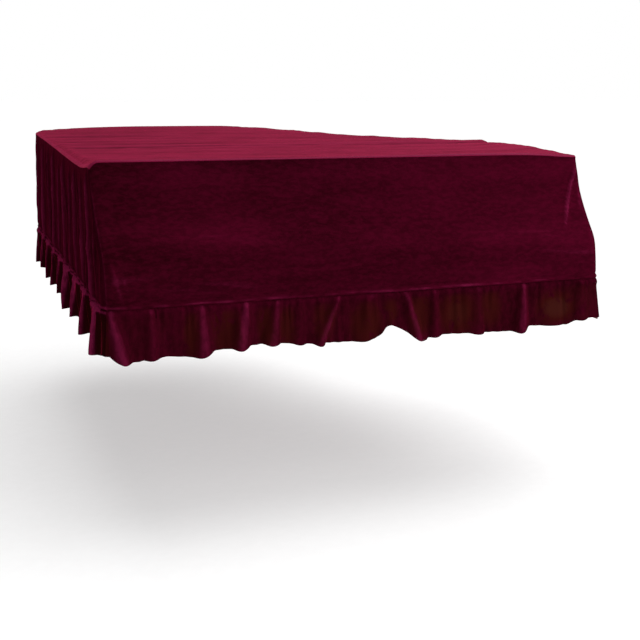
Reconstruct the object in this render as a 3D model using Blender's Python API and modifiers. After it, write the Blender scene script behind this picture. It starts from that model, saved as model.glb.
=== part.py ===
"""Fitted velvet cover for a grand piano, modelled as it hangs.

The cover is hollow and open underneath. A flat top is cut to the plan of the lid, side panels
hang from its edge, and a gathered frill is sewn to their lower edge. Units are metres, +Z is up.
X runs along the keyboard and Y from the keyboard to the tail. The origin is under the cloth of
the top, halfway along the lid and halfway across it.
"""
import math
import random

import bmesh
import bpy
from mathutils import Vector
from mathutils.geometry import delaunay_2d_cdt

# Driving sizes
LID_WIDTH = 1.52
LID_LENGTH = 1.75
CLOTH = 0.002
SKIRT_DROP = 0.36
FRILL_DROP = 0.13
EDGE_DROP = 0.006
SEAM_GAP = 0.0003

# Places on the lid are given from the middle of its front edge
HALF_WIDTH = LID_WIDTH / 2
ORIGIN_Y = -LID_LENGTH / 2

# Plan of the lid, a row for each corner: place, rounding, and the way the cloth spreads below it
CORNERS = {
    "front_left": dict(x=-HALF_WIDTH, y=0.0, radius=0.014, out_x=-0.3, out_y=0.0),
    "front_right": dict(x=HALF_WIDTH, y=0.0, radius=0.014, out_x=1.0, out_y=0.0),
    "cheek_end": dict(x=HALF_WIDTH, y=0.70, radius=0.16, out_x=1.0, out_y=0.4),
    "waist": dict(x=0.40, y=1.07, radius=0.60, out_x=0.8, out_y=0.6),
    "hip": dict(x=0.25, y=1.46, radius=0.80, out_x=0.9, out_y=0.5),
    "tail_right": dict(x=0.09, y=1.74, radius=0.12, out_x=0.7, out_y=1.0),
    "tail_left": dict(x=-0.60, y=LID_LENGTH, radius=0.20, out_x=-0.6, out_y=1.0),
    "spine_end": dict(x=-HALF_WIDTH, y=1.48, radius=0.36, out_x=-0.2, out_y=0.4),
}

# Side panels in their order round the lid, each from one rounded corner to another
PANELS = {
    "front": ("front_left", "front_right"),
    "cheek": ("front_right", "cheek_end"),
    "bentside": ("cheek_end", "waist", "hip", "tail_right"),
    "tail": ("tail_right", "tail_left", "spine_end"),
    "spine": ("spine_end", "front_left"),
}
COLUMN_PITCH = {"front": 0.062, "cheek": 0.050, "bentside": 0.042, "tail": 0.045, "spine": 0.038}
FRILL_COLUMNS = {"front": 3, "cheek": 2, "bentside": 2, "tail": 2, "spine": 2}
CORNER_COLUMNS = (0.010, 0.026, 0.050)

# How the side panels fall: drop from the lid, then how far out the cloth stands there. At the
# front it slopes over the closed keyboard, further at the left end than at the right.
FALL = (
    dict(drop=EDGE_DROP, left=0.000, right=0.000, side=0.000),
    dict(drop=0.018, left=0.000, right=0.000, side=0.000),
    dict(drop=0.045, left=0.016, right=0.012, side=0.002),
    dict(drop=0.095, left=0.052, right=0.027, side=0.004),
    dict(drop=0.145, left=0.095, right=0.058, side=0.006),
    dict(drop=0.195, left=0.150, right=0.096, side=0.008),
    dict(drop=0.240, left=0.200, right=0.134, side=0.010),
    dict(drop=0.300, left=0.213, right=0.147, side=0.012),
    dict(drop=SKIRT_DROP, left=0.221, right=0.154, side=0.014),
)
FRONT_CORNER_SOFTENS = 0.030
CORNER_BLEND_DROP = 0.12

# Rounded edge of the top: how far in from the outline, and how far down
RIM_ROLL = (
    dict(inset=0.008, down=0.000),
    dict(inset=0.0015, down=0.002),
    dict(inset=0.0, down=EDGE_DROP - SEAM_GAP),
)

# The front edge of the top stands a little proud and dips at its two corners
FRONT_LIFT = 0.012
FRONT_LIFT_REACH = 0.10
CORNER_DIPS = (
    dict(corner="front_left", depth=0.016, reach=0.035),
    dict(corner="front_right", depth=0.012, reach=0.12),
    dict(corner="tail_left", depth=0.004, reach=0.18),
)

# Creases across the top, parallel to the keyboard: ends, width, and height of the fold
TOP_CREASES = (
    dict(y=0.60, x_from=-0.75, x_to=0.75, width=0.010, height=-0.004),
    dict(y=0.64, x_from=-0.75, x_to=0.75, width=0.022, height=0.003),
    dict(y=0.87, x_from=-0.75, x_to=-0.30, width=0.016, height=-0.003),
    dict(y=1.15, x_from=-0.75, x_to=-0.35, width=0.020, height=-0.003),
    dict(y=0.30, x_from=-0.10, x_to=0.70, width=0.025, height=0.002),
)
CREASE_END_FADE = 0.08
TOP_GRID = 0.10
TOP_GRID_CLEAR = 0.045
TOP_EDGE_CLEAR = 0.03
CREASE_COLUMN = 0.075
CREASE_ROWS = (-1.6, -0.7, 0.0, 0.7, 1.6)
LEAST_ROW_STEP = 0.006

# Soft upright folds of the side panels: distance along the panel at the top and at the seam
SKIRT_FOLDS = {
    "spine": (
        dict(top=0.16, foot=0.14, width=0.035, depth=0.008),
        dict(top=0.34, foot=0.33, width=0.040, depth=0.010),
        dict(top=0.50, foot=0.52, width=0.030, depth=0.007),
        dict(top=0.65, foot=0.66, width=0.035, depth=0.010),
        dict(top=0.80, foot=0.79, width=0.028, depth=0.007),
        dict(top=0.93, foot=0.95, width=0.035, depth=0.009),
        dict(top=1.07, foot=1.09, width=0.028, depth=0.007),
        dict(top=1.19, foot=1.22, width=0.030, depth=0.009),
        dict(top=1.32, foot=1.37, width=0.030, depth=0.007),
        dict(top=1.43, foot=1.54, width=0.035, depth=0.010),
    ),
    "tail": (
        dict(top=0.15, foot=0.14, width=0.035, depth=0.008),
        dict(top=0.30, foot=0.32, width=0.045, depth=0.006),
        dict(top=0.48, foot=0.47, width=0.035, depth=0.009),
        dict(top=0.70, foot=0.69, width=0.040, depth=0.010),
        dict(top=0.86, foot=0.88, width=0.035, depth=0.008),
    ),
    "bentside": (
        dict(top=0.12, foot=0.10, width=0.035, depth=0.008),
        dict(top=0.30, foot=0.31, width=0.040, depth=0.006),
        dict(top=0.46, foot=0.45, width=0.035, depth=0.009),
        dict(top=0.63, foot=0.65, width=0.035, depth=0.007),
        dict(top=0.84, foot=0.84, width=0.045, depth=0.010),
        dict(top=1.02, foot=1.04, width=0.035, depth=0.008),
    ),
    "cheek": (
        dict(top=0.05, foot=0.12, width=0.030, depth=0.007),
        dict(top=0.22, foot=0.33, width=0.040, depth=0.009),
        dict(top=0.40, foot=0.50, width=0.035, depth=0.006),
        dict(top=0.58, foot=0.68, width=0.040, depth=0.009),
    ),
    "front": (
        dict(top=0.04, foot=0.16, width=0.040, depth=0.006),
        dict(top=1.46, foot=1.43, width=0.025, depth=0.005),
    ),
}
FOLD_START_DROP = 0.03
FOLD_FULL_DROP = 0.20
SEAM_MARGIN = 0.05
FRILL_MARGIN = 0.028

# Flutes of the frill on the two sides that are uneven in their own way: distance along the
# panel at the seam and at the hem
FRILL_FLUTES = {
    "front": (
        dict(seam=0.020, hem=0.045, width=0.030, depth=0.026),
        dict(seam=0.120, hem=0.122, width=0.028, depth=0.013),
        dict(seam=0.262, hem=0.266, width=0.028, depth=0.021),
        dict(seam=0.388, hem=0.370, width=0.026, depth=0.026),
        dict(seam=0.480, hem=0.462, width=0.024, depth=0.021),
        dict(seam=0.545, hem=0.545, width=0.020, depth=0.011),
        dict(seam=0.665, hem=0.605, width=0.022, depth=0.021),
        dict(seam=0.770, hem=0.745, width=0.032, depth=0.016),
        dict(seam=0.870, hem=0.917, width=0.028, depth=0.026),
        dict(seam=0.965, hem=0.972, width=0.022, depth=0.013),
        dict(seam=1.113, hem=1.113, width=0.028, depth=0.019),
        dict(seam=1.268, hem=1.260, width=0.028, depth=0.026),
        dict(seam=1.365, hem=1.370, width=0.040, depth=0.011),
        dict(seam=1.470, hem=1.478, width=0.026, depth=0.018),
    ),
    "spine": (
        dict(seam=0.10, hem=0.10, width=0.034, depth=0.018),
        dict(seam=0.27, hem=0.28, width=0.036, depth=0.021),
        dict(seam=0.45, hem=0.45, width=0.034, depth=0.019),
        dict(seam=0.65, hem=0.66, width=0.038, depth=0.023),
        dict(seam=0.86, hem=0.86, width=0.036, depth=0.021),
        dict(seam=1.01, hem=1.02, width=0.034, depth=0.020),
        dict(seam=1.22, hem=1.21, width=0.040, depth=0.024),
        dict(seam=1.39, hem=1.40, width=0.036, depth=0.022),
        dict(seam=1.57, hem=1.56, width=0.038, depth=0.024),
        dict(seam=1.68, hem=1.68, width=0.026, depth=0.018),
    ),
}
PLAIN_FLUTE_PITCH = (0.11, 0.19)
PLAIN_FLUTE_WIDTH = (0.026, 0.038)
PLAIN_FLUTE_DEPTH = (0.015, 0.025)
PLAIN_FLUTE_SWAY = 0.015
VALLEY_DEPTH = 0.006
FLUTE_SHARPNESS = 0.7
FRILL_SPREAD = {"front": 0.020, "cheek": 0.018, "bentside": 0.014, "tail": 0.012, "spine": 0.006}
FRILL_ROWS = (0.0, 0.06, 0.35, 0.68, 1.0)

# Uneven hem of the front frill: place across the front, and drop from the lid
FRONT_HEM = (
    dict(x=-0.76, drop=0.486), dict(x=-0.69, drop=0.502), dict(x=-0.61, drop=0.491),
    dict(x=-0.51, drop=0.502), dict(x=-0.49, drop=0.488), dict(x=-0.31, drop=0.478),
    dict(x=-0.22, drop=0.488), dict(x=-0.05, drop=0.494), dict(x=0.02, drop=0.488),
    dict(x=0.054, drop=0.450), dict(x=0.10, drop=0.472), dict(x=0.157, drop=0.506),
    dict(x=0.21, drop=0.494), dict(x=0.49, drop=0.503), dict(x=0.51, drop=0.490),
    dict(x=0.66, drop=0.497), dict(x=0.68, drop=0.484), dict(x=0.76, drop=0.480),
)
HEM_WAVE = 0.004
HEM_WAVES = (21.0, 47.0)
FLUTE_SEED = 11

VELVET = dict(colour=(0.13, 0.004, 0.022, 1.0), roughness=0.85, metallic=0.0)


def clear_scene():
    for thing in list(bpy.context.scene.objects):
        bpy.data.objects.remove(thing, do_unlink=True)


def smooth(value):
    value = min(1.0, max(0.0, value))
    return value * value * (3.0 - 2.0 * value)


def bump(distance, width):
    return math.exp(-((distance / width) ** 2))


def read_table(rows, key, place, value):
    """Straight-line reading of a table's column between two rows."""
    if place <= rows[0][key]:
        return rows[0][value]
    for before, after in zip(rows, rows[1:]):
        if place <= after[key]:
            share = (place - before[key]) / (after[key] - before[key])
            return before[value] + share * (after[value] - before[value])
    return rows[-1][value]


def corner_at(name, fall):
    """Plan place and rounding of a corner at one row of the fall table."""
    row = CORNERS[name]
    x = row["x"] + row["out_x"] * fall["side"]
    y = row["y"] + row["out_y"] * fall["side"]
    radius = row["radius"]
    if name in ("front_left", "front_right"):
        y -= fall["left"] if name == "front_left" else fall["right"]
        radius += FRONT_CORNER_SOFTENS * fall["drop"] / SKIRT_DROP
    return Vector((x, y)), radius


def corner_arc(before, corner, after, radius, steps=12):
    """Points of the round that joins two straight runs at a corner."""
    back = (before - corner).normalized()
    ahead = (after - corner).normalized()
    half_angle = back.angle(ahead) / 2
    reach = radius / math.tan(half_angle)
    centre = corner + (back + ahead).normalized() * radius / math.sin(half_angle)
    start = corner + back * reach - centre
    turn = start.angle_signed(corner + ahead * reach - centre)
    points = []
    for step in range(steps + 1):
        angle = -turn * step / steps
        spun = Vector((
            start.x * math.cos(angle) - start.y * math.sin(angle),
            start.x * math.sin(angle) + start.y * math.cos(angle),
        ))
        points.append(centre + spun)
    return points


def panel_path(panel, fall):
    """Plan line of a side panel, from the middle of its first round to the middle of its last."""
    ring = list(CORNERS)
    names = PANELS[panel]
    path = []
    for name in names:
        index = ring.index(name)
        here, radius = corner_at(name, fall)
        before = corner_at(ring[index - 1], fall)[0]
        after = corner_at(ring[(index + 1) % len(ring)], fall)[0]
        arc = corner_arc(before, here, after, radius)
        middle = len(arc) // 2
        if name == names[0]:
            arc = arc[middle:]
        elif name == names[-1]:
            arc = arc[:middle + 1]
        path.extend(arc)
    return path


def path_length(path):
    return sum((b - a).length for a, b in zip(path, path[1:]))


def sample_path(path, distances):
    """Points and outward directions at the given distances along a plan line."""
    places = []
    travelled = 0.0
    index = 0
    for distance in distances:
        step = path[index + 1] - path[index]
        while distance > travelled + step.length and index < len(path) - 2:
            travelled += step.length
            index += 1
            step = path[index + 1] - path[index]
        point = path[index] + step.normalized() * (distance - travelled)
        outward = Vector((step.y, -step.x)).normalized()
        places.append((point, outward))
    return places


def panel_columns(panel):
    """Shares of a panel's length at which its columns stand, closer together at its corners."""
    length = path_length(panel_path(panel, FALL[0]))
    ends = [near / length for near in CORNER_COLUMNS]
    inner = ends[-1]
    count = max(2, round((1.0 - 2 * inner) * length / COLUMN_PITCH[panel]))
    middle = [inner + (1.0 - 2 * inner) * step / count for step in range(count + 1)]
    return [0.0] + ends[:-1] + middle + [1.0 - end for end in reversed(ends[:-1])] + [1.0]


def rim_height(x, y):
    """Height of the top's edge over the lid, from its proud front edge and its dipping corners."""
    height = FRONT_LIFT * bump(y, FRONT_LIFT_REACH)
    for dip in CORNER_DIPS:
        corner = CORNERS[dip["corner"]]
        away = math.hypot(x - corner["x"], y - corner["y"])
        height -= dip["depth"] * bump(away, dip["reach"])
    return height


def top_height(x, y):
    """Height of the top with its creases, which fade at their ends."""
    height = rim_height(x, y)
    for crease in TOP_CREASES:
        fade = smooth((x - crease["x_from"]) / CREASE_END_FADE)
        fade *= smooth((crease["x_to"] - x) / CREASE_END_FADE)
        height += crease["height"] * fade * bump(y - crease["y"], crease["width"])
    return height


def skirt_folds(panel, distance, length, drop):
    """How far the soft upright folds push a side panel out at one point."""
    start = smooth((drop - FOLD_START_DROP) / (FOLD_FULL_DROP - FOLD_START_DROP))
    ends = smooth(distance / SEAM_MARGIN) * smooth((length - distance) / SEAM_MARGIN)
    share = drop / SKIRT_DROP
    total = 0.0
    for fold in SKIRT_FOLDS[panel]:
        place = fold["top"] + share * (fold["foot"] - fold["top"])
        total += fold["depth"] * bump(distance - place, fold["width"])
    return total * start * ends


def skirt_rings(panel):
    """Rows of points of a side panel, from the edge of the top down to the seam."""
    columns = panel_columns(panel)
    rings = []
    for fall in FALL:
        path = panel_path(panel, fall)
        length = path_length(path)
        distances = [min(max(share * length, SEAM_GAP / 2), length - SEAM_GAP / 2) for share in columns]
        settle = smooth(1.0 - (fall["drop"] - EDGE_DROP) / CORNER_BLEND_DROP)
        ring = []
        for distance, (point, outward) in zip(distances, sample_path(path, distances)):
            point = point + outward * skirt_folds(panel, distance, length, fall["drop"])
            rise = settle * rim_height(point.x, point.y)
            ring.append((Vector((point.x, point.y, rise - fall["drop"])), outward, distance))
        rings.append(ring)
    return rings


def frill_flutes(panel, length):
    """Rows for the flutes of a frill, uneven by hand where a table gives them."""
    if panel in FRILL_FLUTES:
        return FRILL_FLUTES[panel]
    chance = random.Random(FLUTE_SEED + list(PANELS).index(panel))
    rows = []
    place = PLAIN_FLUTE_PITCH[0] / 2
    while place < length - SEAM_MARGIN:
        sway = chance.uniform(-PLAIN_FLUTE_SWAY, PLAIN_FLUTE_SWAY)
        width = chance.uniform(*PLAIN_FLUTE_WIDTH)
        depth = chance.uniform(*PLAIN_FLUTE_DEPTH)
        rows.append(dict(seam=place, hem=place + sway, width=width, depth=depth))
        place += chance.uniform(*PLAIN_FLUTE_PITCH)
    return rows


def hem_drop(panel, x, distance):
    if panel == "front":
        return read_table(FRONT_HEM, "x", x, "drop")
    wave = math.sin(distance * HEM_WAVES[0]) + math.sin(distance * HEM_WAVES[1])
    return SKIRT_DROP + FRILL_DROP + HEM_WAVE * wave


def frill_rings(panel, seam_ring):
    """Rows of points of a frill, from under the seam to the hem."""
    fine = []
    count = FRILL_COLUMNS[panel]
    for (a, out_a, at_a), (b, out_b, at_b) in zip(seam_ring, seam_ring[1:]):
        for step in range(count):
            share = step / count
            fine.append((a.lerp(b, share), out_a.lerp(out_b, share).normalized(),
                         at_a + share * (at_b - at_a)))
    fine.append(seam_ring[-1])
    length = seam_ring[-1][2]
    flutes = frill_flutes(panel, length)
    rings = []
    for share in FRILL_ROWS:
        swell = smooth((share - FRILL_ROWS[1]) / (1.0 - FRILL_ROWS[1])) ** FLUTE_SHARPNESS
        spread = FRILL_SPREAD[panel] * max(0.0, share - FRILL_ROWS[1])
        ring = []
        for point, outward, distance in fine:
            push = -VALLEY_DEPTH
            for flute in flutes:
                place = flute["seam"] + share * (flute["hem"] - flute["seam"])
                push += flute["depth"] * bump(distance - place, flute["width"])
            ends = smooth(distance / FRILL_MARGIN) * smooth((length - distance) / FRILL_MARGIN)
            push *= swell * ends
            bottom = -hem_drop(panel, point.x, distance)
            height = point.z - SEAM_GAP + share * (bottom - point.z)
            plan = Vector((point.x, point.y)) + outward * (push + spread)
            ring.append(Vector((plan.x, plan.y, height)))
        rings.append(ring)
    return rings


def grid_faces(rows, columns):
    """Quads of a grid whose columns run anticlockwise seen from above, facing outward."""
    faces = []
    for row in range(rows - 1):
        for column in range(columns - 1):
            a = row * columns + column
            faces.append((a, a + columns, a + columns + 1, a + 1))
    return faces


def top_surface():
    """Points and faces of the top: three rings for the rounded edge, and creased cloth inside."""
    edge = []
    for panel in PANELS:
        path = panel_path(panel, FALL[0])
        length = path_length(path)
        columns = panel_columns(panel)[:-1]
        edge.extend(sample_path(path, [share * length for share in columns]))
    count = len(edge)
    points = []
    for roll in reversed(RIM_ROLL):
        for point, outward in edge:
            plan = point - outward * roll["inset"]
            points.append(Vector((plan.x, plan.y, rim_height(point.x, point.y) - roll["down"])))
    faces = []
    for ring in range(len(RIM_ROLL) - 1):
        for column in range(count):
            a = ring * count + column
            b = ring * count + (column + 1) % count
            faces.append((a, b, b + count, a + count))
    boundary = [Vector((p.x, p.y)) for p in points[-count:]]
    inside = inner_points(boundary)
    flat = boundary + inside
    result = delaunay_2d_cdt(flat, [], [list(range(count))], 1, 1e-6)
    first = len(points) - count
    points.extend(Vector((p.x, p.y, top_height(p.x, p.y))) for p in inside)
    for triangle in result[2]:
        corners = [result[3][index][0] + first for index in triangle]
        faces.append(tuple(corners))
    return points, faces


def inner_points(boundary):
    """Points inside the outline: an open grid, and close rows beside each crease."""
    pitches = {}
    for step in range(1, int(LID_LENGTH / TOP_GRID) + 1):
        y = (step - 0.2) * TOP_GRID
        if all(abs(y - crease["y"]) > TOP_GRID_CLEAR for crease in TOP_CREASES):
            pitches[y] = TOP_GRID
    for crease in TOP_CREASES:
        for offset in CREASE_ROWS:
            pitches[crease["y"] + offset * crease["width"]] = CREASE_COLUMN
    points = []
    for y, pitch in sorted(pitches.items()):
        if points and y - points[-1].y < LEAST_ROW_STEP:
            continue
        count = int(LID_WIDTH / pitch)
        for step in range(1, count):
            place = Vector((-HALF_WIDTH + LID_WIDTH * step / count, y))
            if inside_by(boundary, place, TOP_EDGE_CLEAR):
                points.append(place)
    return points


def inside_by(boundary, place, margin):
    """True where a point is inside the outline and further from it than the margin."""
    inside = False
    for a, b in zip(boundary, boundary[1:] + boundary[:1]):
        edge = b - a
        share = min(1.0, max(0.0, (place - a).dot(edge) / edge.length_squared))
        if (a + edge * share - place).length < margin:
            return False
        if (a.y > place.y) != (b.y > place.y):
            if place.x < a.x + (place.y - a.y) * edge.x / edge.y:
                inside = not inside
    return inside


def make_material(name):
    material = bpy.data.materials.new(name)
    material.use_nodes = True
    shader = material.node_tree.nodes["Principled BSDF"]
    shader.inputs["Base Color"].default_value = VELVET["colour"]
    shader.inputs["Roughness"].default_value = VELVET["roughness"]
    shader.inputs["Metallic"].default_value = VELVET["metallic"]
    return material


def make_sheet(collection, name, points, faces):
    """One piece of cloth: its inner surface, thickened outward."""
    mesh = bpy.data.meshes.new(name)
    work = bmesh.new()
    shift = Vector((0.0, ORIGIN_Y, 0.0))
    vertices = [work.verts.new(point + shift) for point in points]
    for face in faces:
        work.faces.new([vertices[index] for index in face])
    loose = [vertex for vertex in work.verts if not vertex.link_faces]
    bmesh.ops.delete(work, geom=loose, context="VERTS")
    work.to_mesh(mesh)
    work.free()
    mesh.shade_smooth()
    mesh.materials.append(make_material(name + "_velvet"))
    sheet = bpy.data.objects.new(name, mesh)
    collection.objects.link(sheet)
    thicken = sheet.modifiers.new("cloth", "SOLIDIFY")
    thicken.thickness = CLOTH
    thicken.offset = 1.0
    thicken.use_even_offset = True
    return sheet


def make_panel_and_frill(collection, panel):
    rings = skirt_rings(panel)
    points = [place[0] for ring in rings for place in ring]
    make_sheet(collection, panel + "_panel", points, grid_faces(len(rings), len(rings[0])))
    rows = frill_rings(panel, rings[-1])
    points = [place for row in rows for place in row]
    make_sheet(collection, panel + "_frill", points, grid_faces(len(rows), len(rows[0])))


def main():
    clear_scene()
    cover = bpy.data.collections.new("piano_cover")
    bpy.context.scene.collection.children.link(cover)
    points, faces = top_surface()
    make_sheet(cover, "top_panel", points, faces)
    for panel in PANELS:
        make_panel_and_frill(cover, panel)


main()
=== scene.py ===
"""Looks of a fitted velvet cover for a grand piano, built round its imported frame.

The file is laid out as a Blender add-on and is run as a script. Every piece of cloth is a fine
sheet in the place of its plain solid: a creased top, five side panels that fall from it, and five
gathered frills. Units are metres, +Z is up, +X runs along the keyboard and +Y to the tail.
"""

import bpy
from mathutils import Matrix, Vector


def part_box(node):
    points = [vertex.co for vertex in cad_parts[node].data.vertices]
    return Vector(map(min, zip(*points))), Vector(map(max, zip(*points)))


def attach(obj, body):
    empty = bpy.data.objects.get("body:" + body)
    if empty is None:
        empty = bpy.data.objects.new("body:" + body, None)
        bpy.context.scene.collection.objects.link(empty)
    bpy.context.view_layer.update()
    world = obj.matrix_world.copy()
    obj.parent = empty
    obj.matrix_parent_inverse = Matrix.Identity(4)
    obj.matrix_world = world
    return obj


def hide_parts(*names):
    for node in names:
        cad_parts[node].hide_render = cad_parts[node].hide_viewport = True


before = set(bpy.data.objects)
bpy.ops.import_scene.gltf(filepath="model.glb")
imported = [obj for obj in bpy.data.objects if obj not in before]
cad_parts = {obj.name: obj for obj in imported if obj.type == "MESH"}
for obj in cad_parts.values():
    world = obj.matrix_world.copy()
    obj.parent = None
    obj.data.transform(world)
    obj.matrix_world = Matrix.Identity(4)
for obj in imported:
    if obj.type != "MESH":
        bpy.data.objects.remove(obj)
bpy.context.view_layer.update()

import math
from types import SimpleNamespace as Row

import bpy
import numpy as np
from mathutils import Matrix, Vector

bl_info = {
    "name": "Velvet piano cover",
    "version": (1, 0, 0),
    "blender": (4, 5, 0),
    "location": "3D View > Sidebar > Piano cover",
    "description": "Builds a fitted velvet cover for a grand piano: top, side panels and frill",
    "category": "Object",
}


def table(columns, *rows):
    """Rows of a table, each a record with the columns' names."""
    return [Row(**dict(zip(columns.split(), row))) for row in rows]


def tables(columns, **groups):
    """A table for each of several groups of rows that share their columns."""
    return {name: table(columns, *rows) for name, rows in groups.items()}


# Sizes read from the frame
TOP_LOW, TOP_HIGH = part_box("top_panel")
SEAM_DROP = -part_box("front_panel")[0].z
HALF_WIDTH = TOP_HIGH.x
FRONT_Y = TOP_LOW.y
LID_LENGTH = -2 * FRONT_Y

# Thickness of the cloth, and height of the lid over the floor
CLOTH = 0.002
LID_HEIGHT = 1.02

# Plan of the lid from the middle of its front edge, and the way the cloth spreads below it
CORNERS = {row.name: row for row in table(
    "name x y radius out_x out_y",
    ("front_left", -HALF_WIDTH, 0.0, 0.010, -0.3, 0.0),
    ("front_right", HALF_WIDTH, 0.0, 0.014, 1.0, 0.0),
    ("cheek_end", HALF_WIDTH, 0.70, 0.16, 1.0, 0.4),
    ("waist", 0.40, 1.07, 0.60, 0.8, 0.6),
    ("hip", 0.25, 1.46, 0.80, 0.9, 0.5),
    ("tail_right", 0.09, 1.74, 0.12, 0.7, 1.0),
    ("tail_left", -0.60, LID_LENGTH, 0.20, -0.6, 1.0),
    ("spine_end", -HALF_WIDTH, 1.48, 0.36, -0.2, 0.4),
)}
PANELS = {
    "front": ("front_left", "front_right"),
    "cheek": ("front_right", "cheek_end"),
    "bentside": ("cheek_end", "waist", "hip", "tail_right"),
    "tail": ("tail_right", "tail_left", "spine_end"),
    "spine": ("spine_end", "front_left"),
}


def per_panel(*values):
    """A value for each side panel: front, cheek, bentside, tail and spine."""
    return dict(zip(PANELS, values))


# Steps round each corner of a plan line, and the gap that is left between neighbouring sheets
ARC_STEPS = 24
SEAM_GAP = 0.00005

# How the side panels fall: drop from the lid, and how far out the cloth stands there
EDGE_DROP = 0.006
FALL = table(
    "drop left right side",
    (EDGE_DROP, 0.000, 0.000, 0.000),
    (0.018, 0.000, 0.000, 0.000),
    (0.045, 0.016, 0.012, 0.002),
    (0.095, 0.052, 0.027, 0.004),
    (0.145, 0.095, 0.058, 0.006),
    (0.195, 0.150, 0.096, 0.008),
    (0.240, 0.200, 0.134, 0.010),
    (0.300, 0.213, 0.147, 0.012),
    (SEAM_DROP, 0.221, 0.154, 0.014),
)
FALL_BLUR = 0.018
BLUR_SAMPLES = 5
# How much rounder the front corners get by the seam, and the drop by which the dips are gone
FRONT_CORNER_SOFTENS = 0.030
CORNER_BLEND_DROP = 0.12

# Rows of a side panel stand closer together in its rounded top and just over its seam
ROLL_DROP = 0.024
ROLL_STEP = 0.003
FOOT_HEIGHT = 0.020
FOOT_STEP = 0.002

# The rounded edge of the top, which stands proud along the front and at one place of the cheek
RIM_INSET = 0.009
RIM_STEPS = 5
FRONT_LIFT = 0.012
FRONT_LIFT_REACH = 0.10
CHEEK_LIFT = 0.009
CHEEK_LIFT_AT = (0.32, 0.26)
CHEEK_LIFT_REACH = 0.12

# Its slack edge along the spine side, and its dipping corners
SPINE_SHOULDER = 0.013
SPINE_SLACK_BLUR = 0.10
SPINE_SLACK = table(
    "y depth",
    (0.00, 0.014), (0.25, 0.016), (0.52, 0.012), (0.82, 0.006), (1.10, 0.002), (1.40, 0.0),
)
CORNER_DIPS = table(
    "corner depth reach",
    ("front_left", 0.006, 0.010),
    ("front_right", 0.012, 0.12),
    ("tail_left", 0.004, 0.18),
)

# Creases across the top: the slant is how far one would run back over a length of the lid. Each
# eases in and out at its ends and sways: how far, how fast, and how much that differs by place.
TOP_CREASES = table(
    "y x_from x_to width height slant",
    (0.600, -0.76, 0.90, 0.012, -0.0085, 0.006),
    (0.645, -0.76, 0.90, 0.030, 0.0036, 0.008),
    (0.555, -0.60, 0.80, 0.022, 0.0020, -0.006),
    (0.870, -0.75, -0.25, 0.013, -0.0035, -0.030),
    (0.905, -0.75, -0.20, 0.018, 0.0020, -0.035),
    (1.150, -0.75, -0.25, 0.016, -0.0035, -0.050),
    (1.200, -0.75, -0.30, 0.020, 0.0020, -0.060),
    (1.380, -0.70, -0.25, 0.020, -0.0020, -0.040),
    (0.740, -0.74, 0.30, 0.012, -0.0026, -0.012),
    (1.010, -0.72, 0.10, 0.012, -0.0028, -0.030),
    (1.290, -0.68, 0.00, 0.014, -0.0026, -0.040),
    (0.460, -0.20, 0.74, 0.012, -0.0022, 0.010),
    (0.300, -0.10, 0.76, 0.022, 0.0016, 0.015),
    (0.180, -0.70, 0.10, 0.016, 0.0012, -0.010),
)
CREASE_EDGE = 1.6
CREASE_EASE = (0.08, 0.12)
CREASE_SWAY = (0.004, 9.0, 40.0)

# Faint unevenness: its height, how long its waves are each way, and its seed. On the sides it
# starts at a drop and takes another to come in.
UNEVEN_TOP = table(
    "height across back seed",
    (0.0008, 1.10, 0.16, 3),
    (0.0003, 0.50, 0.045, 4),
)
UNEVEN_SIDES = tables(
    "height along down seed start ease",
    front=(
        (0.0005, 0.30, 0.040, 21, 0.17, 0.12),
        (0.0008, 0.90, 0.12, 22, 0.05, 0.20),
        (0.0003, 0.12, 0.016, 23, 0.05, 0.20),
    ),
    gathered=(
        (0.0010, 0.060, 0.50, 31, 0.05, 0.20),
        (0.0006, 0.030, 0.30, 32, 0.05, 0.20),
    ),
)

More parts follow.
